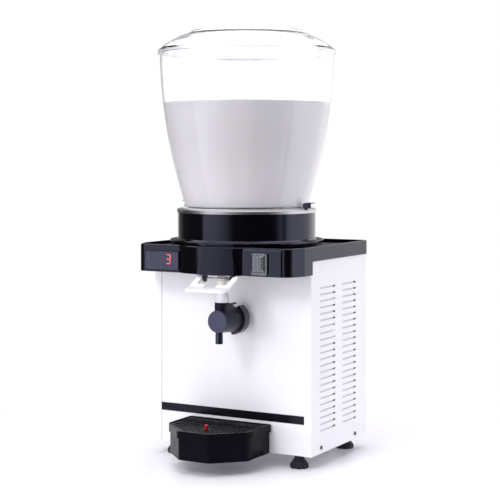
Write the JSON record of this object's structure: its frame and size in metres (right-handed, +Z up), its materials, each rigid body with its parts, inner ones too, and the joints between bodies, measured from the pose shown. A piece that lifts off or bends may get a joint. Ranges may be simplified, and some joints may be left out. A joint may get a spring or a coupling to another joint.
{
  "type": "cold drink dispenser",
  "caption": "Countertop chilled drink dispenser: tall clear bowl and lid over a black drum and collar, white louvred cabinet, tap on a hose, drip tray below.",
  "frame": {"origin": "centre of the whole part's outline on the surface it stands on", "axes": "+Z up, -Y out of the front with the tap and drip tray, +X to the right of someone facing the front"},
  "size_m": [0.2952, 0.324, 0.6959],
  "materials": {
    "white_sheet": "satin white powder coat",
    "back_sheet": "satin white powder coat",
    "galvanised": "dull zinc",
    "black_gloss": "polished black moulding",
    "black_matte": "fine grained black moulding",
    "tray_black": "satin black moulding",
    "tap_black": "satin charcoal moulding",
    "stainless": "bright spun stainless steel",
    "clear": "clear moulded plastic",
    "adapter_clear": "cloudy white moulding",
    "silicone": "soft cream silicone",
    "gasket_white": "soft white silicone",
    "seal_rubber": "soft black rubber",
    "white_plastic": "glossy white moulding",
    "screen": "dark tinted window",
    "switch_grey": "satin grey moulding",
    "rocker_grey": "smoked glossy moulding",
    "strip_black": "plain black vinyl strip",
    "float_red": "glossy red moulding",
    "foam": "rigid yellowish foam",
    "copper": "drawn copper",
    "alu_fins": "mill finish",
    "comp_black": "gloss black paint",
    "motor_steel": "zinc plated",
    "magnet": "ferrite grey",
    "agitator_white": "food grade moulding",
    "screw_black": "blackened screws"
  },
  "bodies": {
    "cabinet": {"front_panel": "white_sheet", "left_panel": "white_sheet", "right_panel": "white_sheet", "back_panel": "back_sheet", "base_plate": "galvanised", "top_plate": "galvanised", "collar": "black_gloss", "collar_underplate": "black_matte", "drum_shell": "black_gloss", "drum_insulation": "foam", "evaporator_basin": "stainless", "evaporator_coil": "copper", "outlet_hose": "silicone", "clip_posts": "black_matte", "mixer_motor": "motor_steel", "hose_adapter": "adapter_clear", "tap_body": "tap_black", "lever_pin": "motor_steel", "lever_spring": "motor_steel", "controller_case": "black_matte", "controller_window": "screen", "switch_frame": "switch_grey", "name_strip": "strip_black", "compressor": "comp_black", "compressor_mounts": "seal_rubber", "terminal_box": "black_matte", "condenser_fins": "alu_fins", "condenser_tubes": "copper", "fan_shroud": "galvanised", "fan_motor": "motor_steel", "filter_drier": "copper", "discharge_pipe": "copper", "suction_pipe": "copper", "liquid_pipe": "copper", "capillary_pipe": "copper", "power_inlet": "black_matte", "cabinet_screws": "screw_black"},
    "bowl": {"bowl": "clear", "bowl_gasket": "gasket_white"},
    "lid": {"lid": "clear"},
    "agitator": {"agitator": "agitator_white", "driven_magnet": "magnet"},
    "mixer_shaft": {"motor_shaft": "motor_steel", "drive_magnet": "magnet"},
    "fan": {"fan_blade": "black_matte"},
    "clip_right": {"clip_tab_right": "switch_grey"},
    "clip_left": {"clip_tab_left": "switch_grey"},
    "rocker": {"switch_rocker": "rocker_grey"},
    "tap_plug": {"tap_core": "tap_black", "tap_seals": "seal_rubber", "tap_handle": "tap_black", "tap_screw": "motor_steel"},
    "lever": {"pinch_lever": "white_plastic"},
    "tray": {"drip_tray": "tray_black"},
    "grille": {"drip_grille": "tray_black"},
    "float": {"tray_float": "float_red"},
    "foot_front_left": {"foot_front_left": "black_matte"},
    "foot_front_right": {"foot_front_right": "black_matte"},
    "foot_rear_left": {"foot_rear_left": "black_matte"},
    "foot_rear_right": {"foot_rear_right": "black_matte"}
  },
  "joints": [
    {"name": "bowl_lift", "type": "slide", "parent": "cabinet", "child": "bowl", "axis": [0, 0, 1], "range_m": [0, 0.06]},
    {"name": "lid_lift", "type": "slide", "parent": "bowl", "child": "lid", "axis": [0, 0, 1], "range_m": [0, 0.12]},
    {"name": "mixer_shaft_spin", "type": "hinge", "parent": "cabinet", "child": "mixer_shaft", "pos_m": [0, 0.0072, 0.39], "axis": [0, 0, 1], "continuous": true},
    {"name": "agitator_spin", "type": "hinge", "parent": "cabinet", "child": "agitator", "pos_m": [0, 0.0072, 0.39], "axis": [0, 0, 1], "continuous": true},
    {"name": "fan_spin", "type": "hinge", "parent": "cabinet", "child": "fan", "pos_m": [0.097, 0.0555, 0.0985], "axis": [1, 0, 0], "continuous": true},
    {"name": "clip_right_swing", "type": "hinge", "parent": "cabinet", "child": "clip_right", "pos_m": [0.1092, 0.0072, 0.414], "axis": [0, 0, 1], "range_deg": [0, 90]},
    {"name": "clip_left_swing", "type": "hinge", "parent": "cabinet", "child": "clip_left", "pos_m": [-0.1092, 0.0072, 0.414], "axis": [0, 0, 1], "range_deg": [0, 90]},
    {"name": "rocker_switch", "type": "hinge", "parent": "cabinet", "child": "rocker", "pos_m": [0.088, -0.098, 0.3251], "axis": [1, 0, 0], "range_deg": [-14, 0]},
    {"name": "tap_turn", "type": "hinge", "parent": "cabinet", "child": "tap_plug", "pos_m": [0.0185, -0.105, 0.2338], "axis": [0, 1, 0], "range_deg": [0, 90]},
    {"name": "lever_press", "type": "hinge", "parent": "cabinet", "child": "lever", "pos_m": [0.0185, -0.115, 0.3004], "axis": [1, 0, 0], "range_deg": [0, 20], "stiffness_Nm_per_rad": 0.12, "springref_deg": -20.05},
    {"name": "tray_slide", "type": "slide", "parent": "cabinet", "child": "tray", "axis": [0, -1, 0], "range_m": [0, 0.09]},
    {"name": "grille_lift", "type": "slide", "parent": "tray", "child": "grille", "axis": [0, 0, 1], "range_m": [0, 0.03]},
    {"name": "float_rise", "type": "slide", "parent": "tray", "child": "float", "axis": [0, 0, 1], "range_m": [0, 0.01]},
    {"name": "foot_front_left_turn", "type": "hinge", "parent": "cabinet", "child": "foot_front_left", "pos_m": [-0.1145, -0.027, 0.01], "axis": [0, 0, 1], "continuous": true},
    {"name": "foot_front_right_turn", "type": "hinge", "parent": "cabinet", "child": "foot_front_right", "pos_m": [0.1145, -0.027, 0.01], "axis": [0, 0, 1], "continuous": true},
    {"name": "foot_rear_left_turn", "type": "hinge", "parent": "cabinet", "child": "foot_rear_left", "pos_m": [-0.1145, 0.1405, 0.01], "axis": [0, 0, 1], "continuous": true},
    {"name": "foot_rear_right_turn", "type": "hinge", "parent": "cabinet", "child": "foot_rear_right", "pos_m": [0.1145, 0.1405, 0.01], "axis": [0, 0, 1], "continuous": true}
  ],
  "couplings": [
    {"joint": "agitator_spin", "follows": "mixer_shaft_spin", "ratio": 1}
  ]
}
